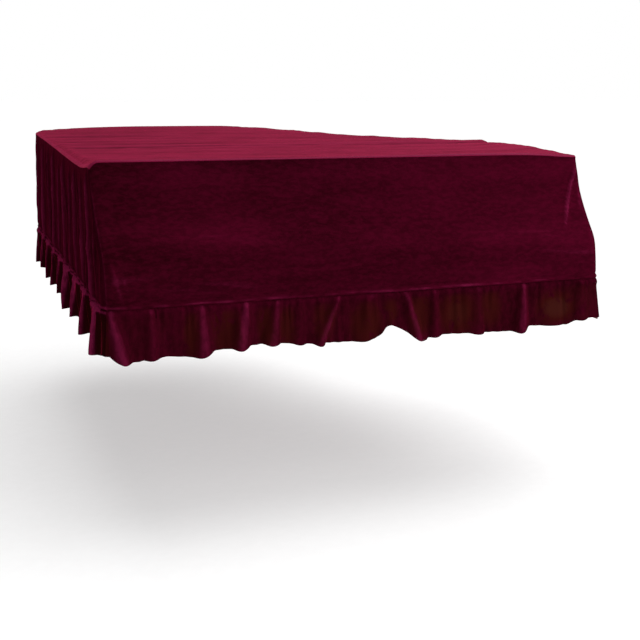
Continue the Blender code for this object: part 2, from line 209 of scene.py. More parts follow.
# Upright folds of the side panels: distance along the panel at the top and at the seam (foot),
# the drops between which each shows, its width at the seam, depth, and how round its crest is
SKIRT_FOLDS = tables(
    "top foot start stop width depth crest",
    spine=(
        (0.16, 0.14, 0.00, 0.36, 0.024, 0.0080, 1.4), (0.34, 0.33, 0.00, 0.36, 0.028, 0.0100, 1.4),
        (0.50, 0.52, 0.01, 0.36, 0.022, 0.0075, 1.3), (0.65, 0.66, 0.00, 0.36, 0.026, 0.0100, 1.3),
        (0.80, 0.79, 0.03, 0.36, 0.020, 0.0075, 1.3), (0.93, 0.95, 0.00, 0.36, 0.026, 0.0095, 1.4),
        (1.07, 1.09, 0.02, 0.36, 0.020, 0.0080, 1.2), (1.19, 1.22, 0.00, 0.36, 0.022, 0.0095, 1.3),
        (1.32, 1.37, 0.02, 0.36, 0.020, 0.0080, 1.2), (1.43, 1.54, 0.00, 0.36, 0.024, 0.0100, 1.3),
        (1.53, 1.62, 0.01, 0.30, 0.016, 0.0060, 1.3),
    ),
    tail=(
        (0.15, 0.14, 0.02, 0.36, 0.035, 0.0080, 1.5), (0.30, 0.32, 0.04, 0.36, 0.045, 0.0060, 1.6),
        (0.48, 0.47, 0.02, 0.36, 0.035, 0.0090, 1.4), (0.70, 0.69, 0.02, 0.36, 0.040, 0.0100, 1.5),
        (0.86, 0.88, 0.03, 0.36, 0.035, 0.0080, 1.4),
    ),
    bentside=(
        (0.12, 0.10, 0.02, 0.36, 0.035, 0.0080, 1.5), (0.30, 0.31, 0.05, 0.36, 0.040, 0.0060, 1.4),
        (0.46, 0.45, 0.02, 0.36, 0.035, 0.0090, 1.5), (0.63, 0.65, 0.04, 0.36, 0.035, 0.0070, 1.4),
        (0.84, 0.84, 0.02, 0.36, 0.045, 0.0100, 1.6), (1.02, 1.04, 0.03, 0.36, 0.035, 0.0080, 1.4),
    ),
    cheek=(
        (0.05, 0.12, 0.02, 0.36, 0.030, 0.0070, 1.4), (0.22, 0.33, 0.02, 0.36, 0.040, 0.0090, 1.5),
        (0.40, 0.50, 0.04, 0.36, 0.035, 0.0060, 1.4), (0.58, 0.68, 0.02, 0.36, 0.040, 0.0090, 1.5),
    ),
    front=(
        (-0.042, 0.053, 0.08, 0.36, 0.008, 0.0027, 1.4), (-0.002, 0.066, 0.12, 0.36, 0.006, 0.0014, 1.4),
        (1.536, 1.337, 0.00, 0.16, 0.006, 0.0120, 1.2), (1.529, 1.450, 0.04, 0.12, 0.007, 0.0050, 1.2),
    ),
)
FOLD_EASE = 0.06
# They sway on their way down, and are narrower at the top than at the seam
FOLD_SWAY = (0.005, 14.0, 2.1)
FOLD_TOP_WIDTH = 0.55
FOLD_WIDENING = 0.45

# Faint level wrinkles of the slack lower front: where each starts and stops, and its drop there
FRONT_WRINKLES = table(
    "start stop drop end width height",
    (0.20, 0.46, 0.293, 0.334, 0.0042, 0.0012),
    (0.12, 0.34, 0.325, 0.318, 0.0035, 0.0006),
    (0.55, 1.00, 0.282, 0.270, 0.0056, 0.0010),
    (0.62, 1.30, 0.318, 0.322, 0.0042, 0.0009),
    (0.90, 1.42, 0.258, 0.266, 0.0063, 0.0013),
    (1.08, 1.20, 0.246, 0.250, 0.0028, 0.0012),
    (1.30, 1.56, 0.262, 0.288, 0.0049, 0.0020),
    (1.36, 1.56, 0.306, 0.322, 0.0049, 0.0017),
    (0.70, 0.95, 0.225, 0.222, 0.0049, 0.0008),
)
WRINKLE_EASE = 0.08
WRINKLE_SWAY = (0.003, 17.0, 60.0)

# Finer pleats between the folds of the gathered sides, drawn by lot: how many, the ranges of
# their sizes, and the drops at which they may start and stop
FINE_PLEATS = per_panel(0, 6, 12, 8, 26)
FINE_WIDTH = (0.006, 0.013)
FINE_DEPTH = (0.0015, 0.0040)
FINE_LEAN = (-0.02, 0.04)
FINE_STARTS = (0.0, 0.0, 0.06, 0.14)
FINE_STOPS = (0.16, 0.26, 0.36, 0.36)
FINE_SHORTEST = 0.05
FINE_EDGE = 1.4
FINE_MARGIN = 0.03
FINE_SEED = 90

# Distance from a side panel's ends in which its folds fade out, on the gathered sides and the front
SEAM_MARGIN = 0.05
FRONT_MARGIN = 0.016

# The upright seams at the corners, and the puckered lip and groove over the seam of the frill.
# What is named AT holds the middle and the width that a hump takes.
SIDE_SEAM_RIDGE = 0.0014
SIDE_SEAM_WIDTH = 0.005
SIDE_SEAM_EASE = 0.08
LIP_AT = (0.005, 0.004)
LIP_EVEN = 0.75
LIP_UNEVEN = 0.35
LIP_REACH = 0.07
LIP_SEED = 24
GROOVE_DEPTH = 0.0014
GROOVE_AT = (0.014, 0.004)
SEAM_LIP = per_panel(0.0032, 0.0028, 0.0028, 0.0028, 0.0018)
# The seam holds the folds flat: the share it takes from them, and how far above it that starts
SEAM_HOLDS = 0.65
SEAM_HOLDS_FROM = 0.035

# How raised the cloth counts for painted highlights on its crests and painted shade in its creases:
# flat cloth, a fold of the height that counts as a full crest, the limits, and what the rim, the lip,
# the side seams and the gathers add as painted highlight lines
TOP_FLAT = 0.4
FLAT = 0.3
RAISED_LIMITS = (-0.3, 1.3)
TOP_CREST = 0.009
RIM_CREST = 1.3
FRONT_CREST = 0.005
SIDE_CREST = 0.010
LIP_CREST = per_panel(0.62, 0.5, 0.5, 0.5, 1.2)
SIDE_SEAM_CREST = 0.5
GATHER_CREST = per_panel(0.25, 0.3, 0.3, 0.3, 1.0)
GATHER_CREST_AT = (0.06, 0.05)

# Flutes of the front and spine frills: distance along the panel at the seam and at the hem
FRILL_FLUTES = tables(
    "seam hem width depth",
    front=(
        (0.010, 0.036, 0.024, 0.034), (0.118, 0.117, 0.026, 0.015), (0.259, 0.259, 0.028, 0.022),
        (0.384, 0.362, 0.026, 0.027), (0.476, 0.453, 0.024, 0.021), (0.541, 0.536, 0.018, 0.010),
        (0.660, 0.594, 0.020, 0.022), (0.764, 0.733, 0.030, 0.012), (0.864, 0.903, 0.024, 0.021),
        (0.959, 0.959, 0.020, 0.013), (1.106, 1.098, 0.024, 0.014), (1.260, 1.244, 0.026, 0.022),
        (1.357, 1.360, 0.040, 0.007), (1.462, 1.462, 0.024, 0.012),
    ),
    spine=(
        (0.12, 0.10, 0.032, 0.018), (0.27, 0.25, 0.034, 0.020), (0.43, 0.42, 0.034, 0.020),
        (0.61, 0.58, 0.034, 0.022), (0.79, 0.77, 0.036, 0.022), (0.98, 0.96, 0.038, 0.026),
        (1.18, 1.15, 0.036, 0.024), (1.37, 1.36, 0.038, 0.024), (1.59, 1.60, 0.040, 0.030),
    ),
)

# Brown patches on the front frill, most of them painted shade in the valleys between its flutes and the
# first a painted shadow in the hollow at its left corner: where the middle of each is along it and
# below its seam, how far it reaches each way, and its strength. The other frills take the brown as
# painted shade in their valleys.
CRUSH_AND_SHADE_PATCHES = table(
    "place reach drop deep strength",
    (-0.010, 0.024, 0.080, 0.080, 1.0),
    (0.228, 0.026, 0.080, 0.070, 1.0),
    (0.323, 0.048, 0.075, 0.072, 1.0),
    (0.438, 0.026, 0.070, 0.064, 1.0),
    (0.500, 0.032, 0.080, 0.066, 1.0),
    (0.612, 0.036, 0.070, 0.062, 0.9),
    (0.742, 0.055, 0.085, 0.070, 1.0),
    (0.818, 0.024, 0.055, 0.040, 1.0),
    (0.912, 0.040, 0.070, 0.066, 1.0),
    (1.035, 0.068, 0.075, 0.070, 1.1),
    (1.145, 0.040, 0.065, 0.062, 1.0),
    (1.376, 0.074, 0.082, 0.052, 1.22),
    (1.460, 0.110, 0.060, 0.080, 0.35),
)
# Where the brown starts below the top of the frill, a little of it all over the front frill, how
# strongly the valleys take it as painted shade, and how unevenly they do on frills other than the front
# and the spine
CRUSH_AND_SHADE_FROM = 0.018
CRUSHED_ALL_OVER = 0.15
VALLEY_SHADE = 1.6
VALLEY_SHADE_SHARE = 0.7
VALLEY_SHADE_REACH = 0.15
VALLEY_SHADE_SEED = 71

# Flutes of the other frills, drawn by lot from these ranges
FLUTE_SEED = 11
PLAIN_PITCH = (0.11, 0.19)
PLAIN_WIDTH = (0.026, 0.038)
PLAIN_DEPTH = (0.015, 0.025)
PLAIN_LEAN = 0.015

# The frill: how far it spreads by the hem and sinks between its flutes, how long it hangs, and the
# distance from its ends in which its flutes fade out
FRILL_SPREAD = per_panel(0.020, 0.018, 0.014, 0.012, 0.006)
SPREAD_FROM = 0.06
VALLEY_DEPTH = per_panel(0.006, 0.008, 0.008, 0.008, 0.010)
FRILL_DROP = 0.13
FRILL_MARGIN = 0.028
FRONT_FRILL_MARGIN = 0.40 * FRILL_MARGIN

# Its rows stand closer together under the seam and at the hem: shares of the drop, and counts
UNDER_SEAM = 0.12
NEAR_HEM = 0.92
FRILL_ROWS = (6, 21, 6)

# How a flute opens towards the hem: its width as shares at the seam and the hem, how much it rolls
# over, and how full it looks, which sets the painted highlight along its crest and how low its crest
# hangs
FLUTE_OPENING = 3.0
FLUTE_NARROWING = 0.72
FLUTE_TAPER = per_panel((0.5, 1.0), (1.1, 0.9), (1.1, 0.9), (1.1, 0.9), (2.3, 0.75))
FLUTE_EDGE = 1.8
FLUTE_ROLL = 0.75
FLUTE_CREST_WIDTH = 0.7
FULL_FLUTE = 0.022
FULLEST = 1.35
CREST_HANG = 0.006

# Tight gathers under the seam, broader pleats below them, and a flutter at the hem. Places down
# the frill are shares of its drop.
GATHER_PITCH = 0.016
GATHER_DEPTH = 0.0013
GATHER_AT = (0.0, 0.20, 1.5)
GATHER_EVEN = 0.6
GATHER_UNEVEN = 0.4
GATHER_REACH = 0.07
GATHER_PHASE = 3.0
GATHER_SEED = 70
PLEAT_PITCH = 0.043
PLEAT_DEPTH = 0.0026
PLEAT_AT = (0.25, 0.42)
PLEAT_PHASE = 2.0
PLEAT_START = 1.0
PHASE_REACH = 0.10
PHASE_SEED = 50
FLUTTER_DEPTH = 0.0016
FLUTTER_REACH = (0.035, 2.0)
FLUTTER_SEED = 90

# The puff of the gathers, and the top of the frill, which is tucked behind its side panel
PUFF = per_panel(0.003, 0.004, 0.004, 0.004, 0.0030)
PUFF_AT = (0.10, 0.07)
CORNER_EASE = 0.10
SEAM_TUCK = 0.008
TUCK_DEPTH = 0.0024
TUCK_SPAN = 0.03

# Uneven hem of the front frill: place across the front, and drop from the lid
FRONT_HEM = table(
    "x drop",
    (-0.76, 0.486), (-0.69, 0.502), (-0.61, 0.491), (-0.51, 0.502), (-0.49, 0.488), (-0.31, 0.478),
    (-0.22, 0.488), (-0.05, 0.494), (0.02, 0.488), (0.054, 0.450), (0.10, 0.472), (0.157, 0.506),
    (0.21, 0.494), (0.49, 0.503), (0.51, 0.490), (0.66, 0.497), (0.68, 0.484), (0.76, 0.480),
)
HEM_BLUR = 0.012
HEM_AT_CORNERS = 0.484
HEM_EASE = 0.04
# The hems of the other frills only wave
HEM_WAVES = (21.0, 47.0)
HEM_WAVE = 0.004

# Flat sizes that the pieces were cut to: allowances, what the slope of the front takes, and a frill's
# length for each metre of its seam
SEAM_ALLOWANCE = 0.015
FRONT_SLOPE = 0.07
GATHER = 1.20

# Edges of the cloth sharper than this many degrees are shaded as edges
EDGE_ANGLE = 60

# The broad light above: the way it comes from, and how many degrees of sky it fills
SUN_FROM = (0.30, 0.15, 1.0)
SUN_SOFTNESS = 70

# Soft lights in front: place, aim, width and height, and the setting that holds the power
AREA_LIGHTS = table(
    "name place aim size power",
    ("front_right", (2.7, -2.7, 1.3), (0.5, -0.9, -0.1), (1.8, 1.4), "fill"),
    ("front_left", (-1.6, -4.4, 1.3), (-0.8, -0.4, -0.3), (0.9, 0.9), "rake"),
)
FLOOR_REACH = 30.0

# The photograph's viewpoint, worked out from its perspective: place, and degrees it looks down,
# looks to the right and is turned
CAMERA_PLACE = (-1.216, -4.135, 0.299)
CAMERA_DOWN = 12.62
CAMERA_RIGHT = 19.10
CAMERA_ROLL = 0.62
CAMERA_LENS = 66.3
CAMERA_SENSOR = 36.0


# Shapes

def smooth(value):
    """0 below 0, 1 above 1, eased in between."""
    value = np.clip(value, 0.0, 1.0)
    return value * value * (3.0 - 2.0 * value)


def bump(distance, width, crest=2.0):
    """1 in the middle and about a third at the width; 2 is a round crest, less is a sharper one."""
    return np.exp(-(np.abs(distance / width) ** crest))


def hump(place, middle, width, crest=2.0):
    return bump(place - middle, width, crest)


def sway(how, place, turn):
    """How far a fold strays at a place: reach, rate, and how much its turn shifts the wave."""
    reach, rate, shift = how
    return reach * np.sin(rate * place + shift * turn)


def read_table(rows, key, place, value, blur=0.0):
    """Reading of a table's column between its rows, with its kinks rounded off."""
    keys = [getattr(row, key) for row in rows]
    values = [getattr(row, value) for row in rows]
    offsets = np.linspace(-blur, blur, BLUR_SAMPLES)
    return sum(np.interp(place + offset, keys, values) for offset in offsets) / BLUR_SAMPLES


def drift(x, y, reach_x, reach_y, seed, waves=12):
    """Smooth uneven field of about unit size, from waves of mixed length and direction."""
    chance = np.random.default_rng(seed)
    slow, fast = 0.4, 1.4
    total = np.zeros(np.broadcast(x, y).shape)
    for _ in range(waves):
        rate_x = chance.uniform(-fast, fast) / reach_x
        rate_y = chance.uniform(slow, fast) / reach_y * chance.choice((-1.0, 1.0))
        total = total + np.sin(2 * math.pi * (rate_x * x + rate_y * y) + chance.uniform(0, 2 * math.pi))
    return total / math.sqrt(waves / 2)


def drift_along(distance, reach, seed):
    return drift(distance, distance * 0, reach, 1.0, seed)


def fade(place, start, stop, ease_in, ease_out):
    """1 between a start and a stop, eased to 0 at both."""
    return smooth((place - start) / ease_in) * smooth((stop - place) / ease_out)


def read_between(places, known, rows):
    """Rows of coordinates at some places, read between the rows at known ones."""
    return np.stack([np.interp(places, known, column) for column in rows.T], axis=1)


def number_of(panel):
    return list(PANELS).index(panel)


def fall_at(drop):
    """How far out the cloth stands at a drop: at the left and right of the front, and elsewhere."""
    blur = min(FALL_BLUR, max(0.0, drop - EDGE_DROP), max(0.0, SEAM_DROP - drop))
    return {key: read_table(FALL, "drop", drop, key, blur) for key in ("left", "right", "side")}


def corner_at(name, drop, fall):
    row = CORNERS[name]
    x = row.x + row.out_x * fall["side"]
    y = row.y + row.out_y * fall["side"]
    radius = row.radius
    if name in ("front_left", "front_right"):
        y -= fall["left"] if name == "front_left" else fall["right"]
        radius += FRONT_CORNER_SOFTENS * drop / SEAM_DROP
    return np.array((x, y)), radius


def corner_arc(before, corner, after, radius):
    """Points of the round that joins two straight runs at a corner."""
    back = (before - corner) / np.linalg.norm(before - corner)
    ahead = (after - corner) / np.linalg.norm(after - corner)
    half_angle = math.acos(float(back @ ahead)) / 2
    middle = (back + ahead) / np.linalg.norm(back + ahead)
    centre = corner + middle * radius / math.sin(half_angle)
    start = corner + back * radius / math.tan(half_angle) - centre
    turn = math.pi - 2 * half_angle
    side = math.copysign(1.0, back[0] * ahead[1] - back[1] * ahead[0])
    angles = -side * turn * np.linspace(0.0, 1.0, ARC_STEPS + 1)
    x = start[0] * np.cos(angles) - start[1] * np.sin(angles)
    y = start[0] * np.sin(angles) + start[1] * np.cos(angles)
    return centre + np.stack((x, y), axis=1)


def panel_line(panel, drop, shares):
    """Points, outward directions and distances along a side panel's plan line at one drop."""
    fall = fall_at(drop)
    ring = list(CORNERS)
    names = PANELS[panel]
    parts = []
    for name in names:
        index = ring.index(name)
        here, radius = corner_at(name, drop, fall)
        before = corner_at(ring[index - 1], drop, fall)[0]
        after = corner_at(ring[(index + 1) % len(ring)], drop, fall)[0]
        parts.append(corner_arc(before, here, after, radius))
    path = np.concatenate(parts)
    steps = np.linalg.norm(np.diff(path, axis=0), axis=1)
    travelled = np.concatenate(((0.0,), np.cumsum(steps)))
    travelled -= travelled[ARC_STEPS // 2]
    length = travelled[-1 - ARC_STEPS // 2]
    distances = np.clip(shares * length, SEAM_GAP / 2, length - SEAM_GAP / 2)
    points = read_between(distances, travelled, path)
    ways = read_between(distances, travelled, np.gradient(path, travelled, axis=0))
    outward = np.stack((ways[:, 1], -ways[:, 0]), axis=1)
    outward /= np.linalg.norm(outward, axis=1, keepdims=True)
    return points, outward, distances, length


def rim_height(x, y):
    """Height of the edge of the top over the lid."""
    height = CLOTH + FRONT_LIFT * bump(y, FRONT_LIFT_REACH)
    beside = bump(x - HALF_WIDTH, CHEEK_LIFT_REACH)
    height = height + CHEEK_LIFT * hump(y, *CHEEK_LIFT_AT) * beside
    slack = read_table(SPINE_SLACK, "y", y, "depth", SPINE_SLACK_BLUR)
    height = height - slack * bump(x + HALF_WIDTH, SPINE_SHOULDER)
    for dip in CORNER_DIPS:
        corner = CORNERS[dip.corner]
        away = np.hypot(x - corner.x, y - corner.y)
        height = height - dip.depth * bump(away, dip.reach)
    return height


def top_height(x, y):
    """Height of the top with its creases and a faint unevenness, and how far it is raised."""
    relief = np.zeros(x.shape)
    for row in UNEVEN_TOP:
        relief = relief + row.height * drift(x, y, row.across, row.back, row.seed)
    for crease in TOP_CREASES:
        middle = crease.y + crease.slant * (x - crease.x_from) / LID_LENGTH
        middle = middle + sway(CREASE_SWAY, x, crease.y)
        shown = fade(x, crease.x_from, crease.x_to, *CREASE_EASE)
        relief = relief + crease.height * shown * bump(y - middle, crease.width, CREASE_EDGE)
    # Creases count low for painted shade along them, and ridges high for painted highlights
    return rim_height(x, y) + relief, TOP_FLAT + relief / TOP_CREST


def all_folds(panel, length):
    """A side panel's own folds, and its finer pleats."""
    chance = np.random.default_rng(FINE_SEED + number_of(panel))
    folds = list(SKIRT_FOLDS[panel])
    for _ in range(FINE_PLEATS[panel]):
        place = chance.uniform(FINE_MARGIN, length - FINE_MARGIN)
        start = chance.choice(FINE_STARTS)
        stop = chance.choice(FINE_STOPS)
        if stop > start + FINE_SHORTEST:
            folds.append(Row(top=place, foot=place + chance.uniform(*FINE_LEAN), start=start,
                             stop=stop, width=chance.uniform(*FINE_WIDTH),
                             depth=chance.uniform(*FINE_DEPTH), crest=FINE_EDGE))
    return folds


def fold_relief(panel, distance, length, drop, ends):
    """How far the upright folds of a side panel stand out; the seam holds them flat."""
    relief = np.zeros(distance.shape)
    for number, fold in enumerate(all_folds(panel, length)):
        place = fold.top + (fold.foot - fold.top) * drop / SEAM_DROP
        place = place + sway(FOLD_SWAY, drop, number)
        shown = fade(drop, fold.start, fold.stop + FOLD_EASE, FOLD_EASE, FOLD_EASE)
        width = fold.width * (FOLD_TOP_WIDTH + FOLD_WIDENING * drop / SEAM_DROP)
        relief = relief + fold.depth * shown * ends * bump(distance - place, width, fold.crest)
    return relief * (1.0 - SEAM_HOLDS * smooth((drop - SEAM_DROP + SEAM_HOLDS_FROM) / SEAM_HOLDS_FROM))


def with_wrinkles(relief, distance, drop, ends):
    """The relief of the front with its level wrinkles added."""
    for wrinkle in FRONT_WRINKLES:
        share = (distance - wrinkle.start) / (wrinkle.stop - wrinkle.start)
        level = wrinkle.drop + share * (wrinkle.end - wrinkle.drop)
        level = level + sway(WRINKLE_SWAY, distance, wrinkle.drop)
        shown = fade(distance, wrinkle.start, wrinkle.stop, WRINKLE_EASE, WRINKLE_EASE)
        relief = relief + wrinkle.height * shown * ends * bump(drop - level, wrinkle.width)
    return relief


def skirt_relief(panel, distance, length, drop):
    """How far folds, wrinkles and seams push a side panel out, and how raised it counts."""
    front = panel == "front"
    margin = FRONT_MARGIN if front else SEAM_MARGIN
    ends = fade(distance, 0.0, length, margin, margin)
    relief = fold_relief(panel, distance, length, drop, ends)
    if front:
        relief = with_wrinkles(relief, distance, drop, ends)
    for row in UNEVEN_SIDES["front" if front else "gathered"]:
        shown = smooth((drop - row.start) / row.ease)
        waves = drift(distance, drop, row.along, row.down, row.seed)
        relief = relief + ends * shown * row.height * waves
    # Raised folds count high for painted highlights on their crests, and hollows low for painted shade
    crests = np.clip(FLAT + relief / (FRONT_CREST if front else SIDE_CREST), *RAISED_LIMITS)
    above_seam = SEAM_DROP - drop
    lip = hump(above_seam, *LIP_AT)
    lip = lip * (LIP_EVEN + LIP_UNEVEN * ends * drift_along(distance, LIP_REACH, LIP_SEED))
    groove = GROOVE_DEPTH * hump(above_seam, *GROOVE_AT)
    relief = relief + SEAM_LIP[panel] * lip - groove
    side_seam = bump(distance, SIDE_SEAM_WIDTH) + bump(length - distance, SIDE_SEAM_WIDTH)
    side_seam = side_seam * smooth(drop / SIDE_SEAM_EASE)
    # The lip over the seam and the upright side seams add painted highlight lines
    crests = crests + LIP_CREST[panel] * lip + SIDE_SEAM_CREST * side_seam
    return relief + SIDE_SEAM_RIDGE * side_seam, crests


def row_drops(pitch):
    """Drops of a side panel's rows from the lid."""
    foot = SEAM_DROP - FOOT_HEIGHT
    upper = np.arange(EDGE_DROP, ROLL_DROP, ROLL_STEP)
    middle = np.arange(ROLL_DROP, foot, pitch)
    lower = np.arange(foot, SEAM_DROP - FOOT_STEP / 2, FOOT_STEP)
    return np.concatenate((upper, middle, lower, (SEAM_DROP,)))


def skirt_grid(panel, pitch):
    """Rows of points of a side panel and how raised they are; outward ways at its last row."""
    length = panel_line(panel, SEAM_DROP, np.array((0.0, 1.0)))[3]
    shares = np.linspace(0.0, 1.0, int(length / pitch) + 1)
    rows = []
    crests = []
    for drop in row_drops(pitch):
        points, outward, distances, length = panel_line(panel, drop, shares)
        relief, raised = skirt_relief(panel, distances, length, drop)
        points = points + outward * relief[:, None]
        crests.append(raised)
        settle = smooth(1.0 - (drop - EDGE_DROP) / CORNER_BLEND_DROP)
        height = settle * rim_height(points[:, 0], points[:, 1]) - drop
        rows.append(np.column_stack((points, height)))
    return np.array(rows), np.array(crests), outward, distances, length


def frill_flutes(panel, length):
    """Rows for the flutes of a frill, uneven and listed one by one where a table gives them."""
    if panel in FRILL_FLUTES:
        return FRILL_FLUTES[panel]
    chance = np.random.default_rng(FLUTE_SEED + number_of(panel))
    rows = []
    place = PLAIN_PITCH[0] / 2
    while place < length - SEAM_MARGIN:
        lean = chance.uniform(-PLAIN_LEAN, PLAIN_LEAN)
        width = chance.uniform(*PLAIN_WIDTH)
        depth = chance.uniform(*PLAIN_DEPTH)
        rows.append(Row(seam=place, hem=place + lean, width=width, depth=depth))
        place += chance.uniform(*PLAIN_PITCH)
    return rows


def hem_drop(panel, x, distance):
    if panel == "front":
        return read_table(FRONT_HEM, "x", x, "drop", HEM_BLUR)
    wave = np.sin(distance * HEM_WAVES[0]) + np.sin(distance * HEM_WAVES[1])
    return SEAM_DROP + FRILL_DROP + HEM_WAVE * wave


def tucked_row(seam, out, rise):
    """Points of the top of a frill, where it lies behind the foot of its side panel."""
    plan = seam[:, :2] - out * TUCK_DEPTH
    return np.column_stack((plan, seam[:, 2] + rise))


def to_neighbours(values, panel, distance, length):
    """A panel's own value, eased at its ends to halfway between it and each neighbour's."""
    names = list(PANELS)
    index = names.index(panel)
    own = values[panel]
    before = (own + values[names[index - 1]]) / 2
    after = (own + values[names[(index + 1) % len(names)]]) / 2
    first = smooth(distance / CORNER_EASE)
    last = smooth((length - distance) / CORNER_EASE)
    return own + (before - own) * (1 - first) + (after - own) * (1 - last)


def crush_and_valley_shade(panel, distance, below, raised):
    """Where a frill turns brown: listed patches on the front, mostly painted shade in its valleys;
    painted shade in the valleys of the others.
    """
    if panel == "front":
        marks = np.full(len(distance), CRUSHED_ALL_OVER)
        for patch in CRUSH_AND_SHADE_PATCHES:
            across = (distance - patch.place) / patch.reach
            down = (below - patch.drop) / patch.deep
            round_mark = np.exp(-((across ** 2 + down ** 2) ** 2))
            marks = np.maximum(marks, patch.strength * round_mark)
        return marks
    # The other frills take the brown as painted shade in their valleys, away from the raised crests
    valleys = np.clip(1.0 - VALLEY_SHADE * raised, 0.0, 1.0)
    if panel == "spine":
        return valleys
    return valleys * smooth(VALLEY_SHADE_SHARE + drift_along(distance, VALLEY_SHADE_REACH, VALLEY_SHADE_SEED))


def flute_shape(panel, length, fine, share):
    """At one row of a frill, how far its flutes stand out, roll sideways and are raised."""
    wide, narrow = FLUTE_TAPER[panel]
    push = np.full(len(fine), -VALLEY_DEPTH[panel])
    shift = np.zeros(len(fine))
    raised = np.zeros(len(fine))
    for flute in frill_flutes(panel, length):
        place = flute.seam + share * (flute.hem - flute.seam)
        width = FLUTE_NARROWING * flute.width * (wide + (narrow - wide) * math.sqrt(share))
        away = fine - place
        fullness = min(FULLEST, flute.depth / FULL_FLUTE)
        push += flute.depth * bump(away, width, FLUTE_EDGE)
        shift += FLUTE_ROLL * away * bump(away, width)
        # The crest of each flute counts as raised, for a painted highlight along it
        raised += fullness * bump(away, width * FLUTE_CREST_WIDTH)
    return push, shift, raised


def frill_grid(panel, pitch):
    """Rows of points of a frill: tight gathers under the seam that open into flutes at the hem."""
    skirt, _, outward, distances, length = skirt_grid(panel, pitch)
    number = number_of(panel)
    count = int(length / pitch) + 1
    fine = np.linspace(distances[0], distances[-1], count)
    seam = read_between(fine, distances, skirt[-1])
    out = read_between(fine, distances, outward)
    out /= np.linalg.norm(out, axis=1, keepdims=True)
    along = np.stack((-out[:, 1], out[:, 0]), axis=1)
    margin = FRONT_FRILL_MARGIN if panel == "front" else FRILL_MARGIN
    ends = fade(fine, 0.0, length, margin, margin)
    settled = fade(fine, 0.0, length, HEM_EASE, HEM_EASE)
    hem = -HEM_AT_CORNERS - (hem_drop(panel, seam[:, 0], fine) - HEM_AT_CORNERS) * settled
    phase = drift_along(fine, PHASE_REACH, PHASE_SEED + number)
    puff = to_neighbours(PUFF, panel, fine, length)
    spread = to_neighbours(FRILL_SPREAD, panel, fine, length)
    gather = np.sin(2 * math.pi * fine / GATHER_PITCH + GATHER_PHASE * phase)
    uneven = drift_along(fine, GATHER_REACH, GATHER_SEED + number)
    gather = gather * (GATHER_EVEN + GATHER_UNEVEN * uneven)
    pleat = np.sin(2 * math.pi * fine / PLEAT_PITCH + PLEAT_PHASE * phase + PLEAT_START)
    rows = [tucked_row(seam, out, SEAM_TUCK), tucked_row(seam, out, 0.0)]
    crests = [np.full(count, FLAT)] * 2
    crushed = [np.zeros(count)] * 2
    for share in frill_shares()[1:]:
        swell = (1.0 - math.exp(-FLUTE_OPENING * share)) / (1.0 - math.exp(-FLUTE_OPENING))
        push, shift, raised = flute_shape(panel, length, fine, share)
        tuck = smooth(share / TUCK_SPAN)
        flutter = drift(fine, fine * 0 + share, *FLUTTER_REACH, FLUTTER_SEED + number)
        push = push * swell * ends
        push += ends * tuck * GATHER_DEPTH * gather * hump(share, *GATHER_AT)
        push += ends * tuck * PLEAT_DEPTH * pleat * hump(share, *PLEAT_AT)
        push += ends * FLUTTER_DEPTH * share * flutter
        push += puff * hump(share, *PUFF_AT) * tuck - TUCK_DEPTH * bump(share, TUCK_SPAN)
        push += spread * max(0.0, share - SPREAD_FROM)
        plan = seam[:, :2] + out * push[:, None] + along * (shift * swell * ends)[:, None]
        height = seam[:, 2] + share * (hem - seam[:, 2] - CREST_HANG * share * raised * ends)
        # The puff of the gathers under the seam adds a painted highlight band
        crests.append(raised + GATHER_CREST[panel] * hump(share, *GATHER_CREST_AT))
        crushed.append(crush_and_valley_shade(panel, fine, seam[:, 2] - height, raised))
        rows.append(np.column_stack((plan, height)))
    below = smooth((rows[0][:, 2] - np.array(rows)[..., 2] - CRUSH_AND_SHADE_FROM) / CRUSH_AND_SHADE_FROM)
    crushed = np.array(crushed) * below
    return np.array(rows), np.array(crests), crushed, length


def frill_shares():
    """How far down the frill each of its rows is, from the seam to the hem."""
    upper, middle, lower = FRILL_ROWS
    return np.concatenate((
        np.linspace(0.0, UNDER_SEAM, upper, endpoint=False),
        np.linspace(UNDER_SEAM, NEAR_HEM, middle, endpoint=False),
        np.linspace(NEAR_HEM, 1.0, lower)))


